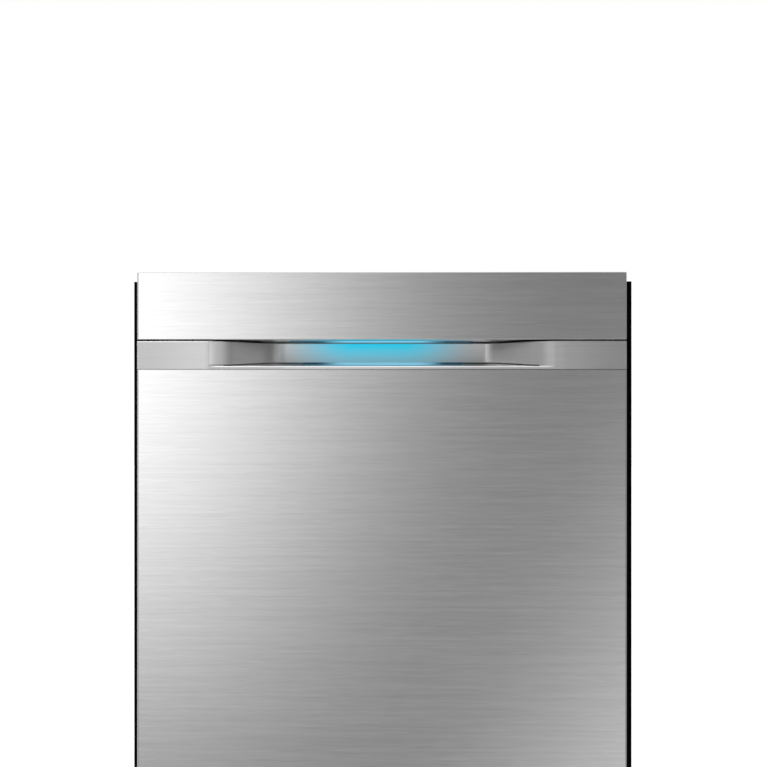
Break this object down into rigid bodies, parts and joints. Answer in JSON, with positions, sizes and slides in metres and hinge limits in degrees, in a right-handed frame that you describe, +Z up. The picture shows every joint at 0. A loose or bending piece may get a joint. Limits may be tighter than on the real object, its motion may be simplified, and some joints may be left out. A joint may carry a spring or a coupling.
{
  "type": "undercounter dishwasher",
  "caption": "Built-in dishwasher with a drop-down steel door, a lit recessed handle band, sliding racks, spray arms, sump and pumps.",
  "frame": {"origin": "on the floor under the middle of the machine's outer box", "axes": "+Z up, -Y towards the user in front of the door, +X to the right of someone facing the door"},
  "size_m": [0.606, 0.625, 0.86],
  "materials": {
    "front_steel": "brushed along X",
    "band_steel": "brushed along X, satin",
    "tub_steel": "satin rolled",
    "zinc_steel": "galvanised",
    "spring_steel": "oiled",
    "rail_steel": "smooth rolled",
    "filter_steel": "fine perforated",
    "heater_steel": "heat-darkened",
    "screw_steel": "bright",
    "black_paint": "satin",
    "rack_coating": "smooth nylon",
    "rubber": "matt",
    "felt": "pressed fibre",
    "black_plastic": "fine grain",
    "button_plastic": "satin",
    "grey_plastic": "moulded",
    "pump_plastic": "moulded",
    "filter_plastic": "moulded",
    "hose_plastic": "ribbed",
    "white_plastic": "moulded",
    "basket_plastic": "moulded",
    "wheel_plastic": "moulded",
    "arm_plastic": "moulded",
    "dispenser_plastic": "moulded",
    "lid_plastic": "moulded",
    "circuit_board": "solder mask",
    "blue_light": "lit diffuser"
  },
  "bodies": {
    "cabinet": {"tub": "tub_steel", "side_trims": "black_paint", "door_gasket": "rubber", "base_frame": "zinc_steel", "toe_kick": "black_paint", "toe_kick_screws": "screw_steel", "counter_brackets": "zinc_steel", "hinge_brackets": "zinc_steel", "door_springs": "spring_steel", "latch_strike": "zinc_steel", "sound_blanket": "felt", "sump": "grey_plastic", "flat_filter": "filter_steel", "heating_element": "heater_steel", "spray_feed_tube": "grey_plastic", "circulation_pump": "pump_plastic", "drain_pump": "pump_plastic", "drain_hose": "hose_plastic", "inlet_valve": "white_plastic", "junction_box": "zinc_steel", "rack_rails": "rail_steel"},
    "door": {"door_panel": "front_steel", "door_fascia": "front_steel", "handle_band": "band_steel", "handle_light_lens": "blue_light", "light_board": "circuit_board", "control_bezel": "black_plastic", "control_board": "circuit_board", "door_liner": "tub_steel", "door_screws": "screw_steel", "door_insulation": "felt", "door_bottom_seal": "rubber", "door_arms": "zinc_steel", "dispenser_body": "dispenser_plastic"},
    "lower_rack": {"lower_rack": "rack_coating", "cutlery_basket": "basket_plastic"},
    "front_right_foot": {"front_right_foot": "black_plastic"},
    "front_left_foot": {"front_left_foot": "black_plastic"},
    "rear_feet": {"rear_feet": "black_plastic"},
    "filter_cup": {"filter_cup": "filter_plastic"},
    "pump_impeller": {"pump_impeller": "filter_plastic"},
    "float_dome": {"float_dome": "grey_plastic"},
    "upper_rails": {"upper_rails": "rail_steel"},
    "folding_tines": {"folding_tines": "rack_coating"},
    "front_left_wheel": {"front_left_wheel": "wheel_plastic"},
    "front_right_wheel": {"front_right_wheel": "wheel_plastic"},
    "rear_left_wheel": {"rear_left_wheel": "wheel_plastic"},
    "rear_right_wheel": {"rear_right_wheel": "wheel_plastic"},
    "upper_rack": {"upper_rack": "rack_coating"},
    "cup_shelf": {"cup_shelf": "rack_coating"},
    "third_rack": {"third_rack": "rack_coating"},
    "lower_spray_arm": {"lower_spray_arm": "arm_plastic"},
    "middle_spray_arm": {"middle_spray_arm": "arm_plastic"},
    "top_spray_arm": {"top_spray_arm": "arm_plastic"},
    "power_button": {"power_button": "button_plastic"},
    "cycle_button": {"cycle_button": "button_plastic"},
    "start_button": {"start_button": "button_plastic"},
    "detergent_lid": {"detergent_lid": "lid_plastic"},
    "rinse_aid_cap": {"rinse_aid_cap": "lid_plastic"},
    "latch_hook": {"latch_hook": "spring_steel"}
  },
  "joints": [
    {"name": "door_hinge", "type": "hinge", "parent": "cabinet", "child": "door", "pos_m": [0, -0.29, 0.118], "axis": [1, 0, 0], "range_deg": [0, 90], "stiffness_Nm_per_rad": 16},
    {"name": "lower_rack_slide", "type": "slide", "parent": "cabinet", "child": "lower_rack", "axis": [0, -1, 0], "range_m": [0, 0.1501]},
    {"name": "upper_rail_slide", "type": "slide", "parent": "cabinet", "child": "upper_rails", "axis": [0, -1, 0], "range_m": [0, 0.2001]},
    {"name": "upper_rack_slide", "type": "slide", "parent": "upper_rails", "child": "upper_rack", "axis": [0, -1, 0], "range_m": [0, 0.2001]},
    {"name": "third_rack_slide", "type": "slide", "parent": "cabinet", "child": "third_rack", "axis": [0, -1, 0], "range_m": [0, 0.3601]},
    {"name": "front_left_wheel_spin", "type": "hinge", "parent": "lower_rack", "child": "front_left_wheel", "pos_m": [-0.262, -0.135, 0.1628], "axis": [1, 0, 0], "range_deg": [0, 506]},
    {"name": "rear_left_wheel_spin", "type": "hinge", "parent": "lower_rack", "child": "rear_left_wheel", "pos_m": [-0.262, 0.15, 0.1628], "axis": [1, 0, 0], "range_deg": [0, 506]},
    {"name": "front_right_wheel_spin", "type": "hinge", "parent": "lower_rack", "child": "front_right_wheel", "pos_m": [0.262, -0.135, 0.1628], "axis": [1, 0, 0], "range_deg": [0, 506]},
    {"name": "rear_right_wheel_spin", "type": "hinge", "parent": "lower_rack", "child": "rear_right_wheel", "pos_m": [0.262, 0.15, 0.1628], "axis": [1, 0, 0], "range_deg": [0, 506]},
    {"name": "tine_fold", "type": "hinge", "parent": "lower_rack", "child": "folding_tines", "pos_m": [0.045, 0, 0.1993], "axis": [0, -1, 0], "range_deg": [0, 85]},
    {"name": "cup_shelf_fold", "type": "hinge", "parent": "upper_rack", "child": "cup_shelf", "pos_m": [0.232, -0.115, 0.622], "axis": [0, 1, 0], "range_deg": [0, 90]},
    {"name": "middle_arm_spin", "type": "hinge", "parent": "upper_rack", "child": "middle_spray_arm", "pos_m": [0, 0.01, 0.492], "axis": [0, 0, 1], "continuous": true},
    {"name": "lower_arm_spin", "type": "hinge", "parent": "cabinet", "child": "lower_spray_arm", "pos_m": [0, 0.01, 0.176], "axis": [0, 0, 1], "continuous": true},
    {"name": "top_arm_spin", "type": "hinge", "parent": "cabinet", "child": "top_spray_arm", "pos_m": [0, 0.01, 0.804], "axis": [0, 0, 1], "continuous": true},
    {"name": "impeller_spin", "type": "hinge", "parent": "cabinet", "child": "pump_impeller", "pos_m": [0.132, 0.01, 0.085], "axis": [1, 0, 0], "continuous": true},
    {"name": "filter_turn", "type": "hinge", "parent": "cabinet", "child": "filter_cup", "pos_m": [0.06, 0.01, 0.11], "axis": [0, 0, 1], "range_deg": [0, 90]},
    {"name": "float_rise", "type": "slide", "parent": "cabinet", "child": "float_dome", "axis": [0, 0, 1], "range_m": [0, 0.008]},
    {"name": "front_right_foot_level", "type": "slide", "parent": "cabinet", "child": "front_right_foot", "axis": [0, 0, -1], "range_m": [0, 0.02]},
    {"name": "front_left_foot_level", "type": "slide", "parent": "cabinet", "child": "front_left_foot", "axis": [0, 0, -1], "range_m": [0, 0.02]},
    {"name": "rear_feet_level", "type": "slide", "parent": "cabinet", "child": "rear_feet", "axis": [0, 0, -1], "range_m": [0, 0.02]},
    {"name": "power_press", "type": "slide", "parent": "door", "child": "power_button", "axis": [0, 0, -1], "range_m": [0, 0.0015], "stiffness_N_per_m": 900},
    {"name": "cycle_press", "type": "slide", "parent": "door", "child": "cycle_button", "axis": [0, 0, -1], "range_m": [0, 0.0015], "stiffness_N_per_m": 900},
    {"name": "start_press", "type": "slide", "parent": "door", "child": "start_button", "axis": [0, 0, -1], "range_m": [0, 0.0015], "stiffness_N_per_m": 900},
    {"name": "detergent_lid_slide", "type": "slide", "parent": "door", "child": "detergent_lid", "axis": [0, 0, -1], "range_m": [0, 0.066]},
    {"name": "rinse_cap_turn", "type": "hinge", "parent": "door", "child": "rinse_aid_cap", "pos_m": [0.062, -0.262, 0.505], "axis": [0, 1, 0], "range_deg": [0, 90]},
    {"name": "latch_release", "type": "hinge", "parent": "door", "child": "latch_hook", "pos_m": [0, -0.293, 0.838], "axis": [-1, 0, 0], "range_deg": [0, 20], "stiffness_Nm_per_rad": 1.5, "springref_deg": -5.73}
  ],
  "couplings": [
    {"joint": "lower_rack_slide", "follows": "door_hinge", "m_per_rad": 0.095493},
    {"joint": "upper_rail_slide", "follows": "door_hinge", "m_per_rad": 0.12732},
    {"joint": "upper_rack_slide", "follows": "door_hinge", "m_per_rad": 0.12732},
    {"joint": "third_rack_slide", "follows": "door_hinge", "m_per_rad": 0.22918},
    {"joint": "front_left_wheel_spin", "follows": "door_hinge", "ratio": 5.6172},
    {"joint": "rear_left_wheel_spin", "follows": "door_hinge", "ratio": 5.6172},
    {"joint": "front_right_wheel_spin", "follows": "door_hinge", "ratio": 5.6172},
    {"joint": "rear_right_wheel_spin", "follows": "door_hinge", "ratio": 5.6172}
  ]
}
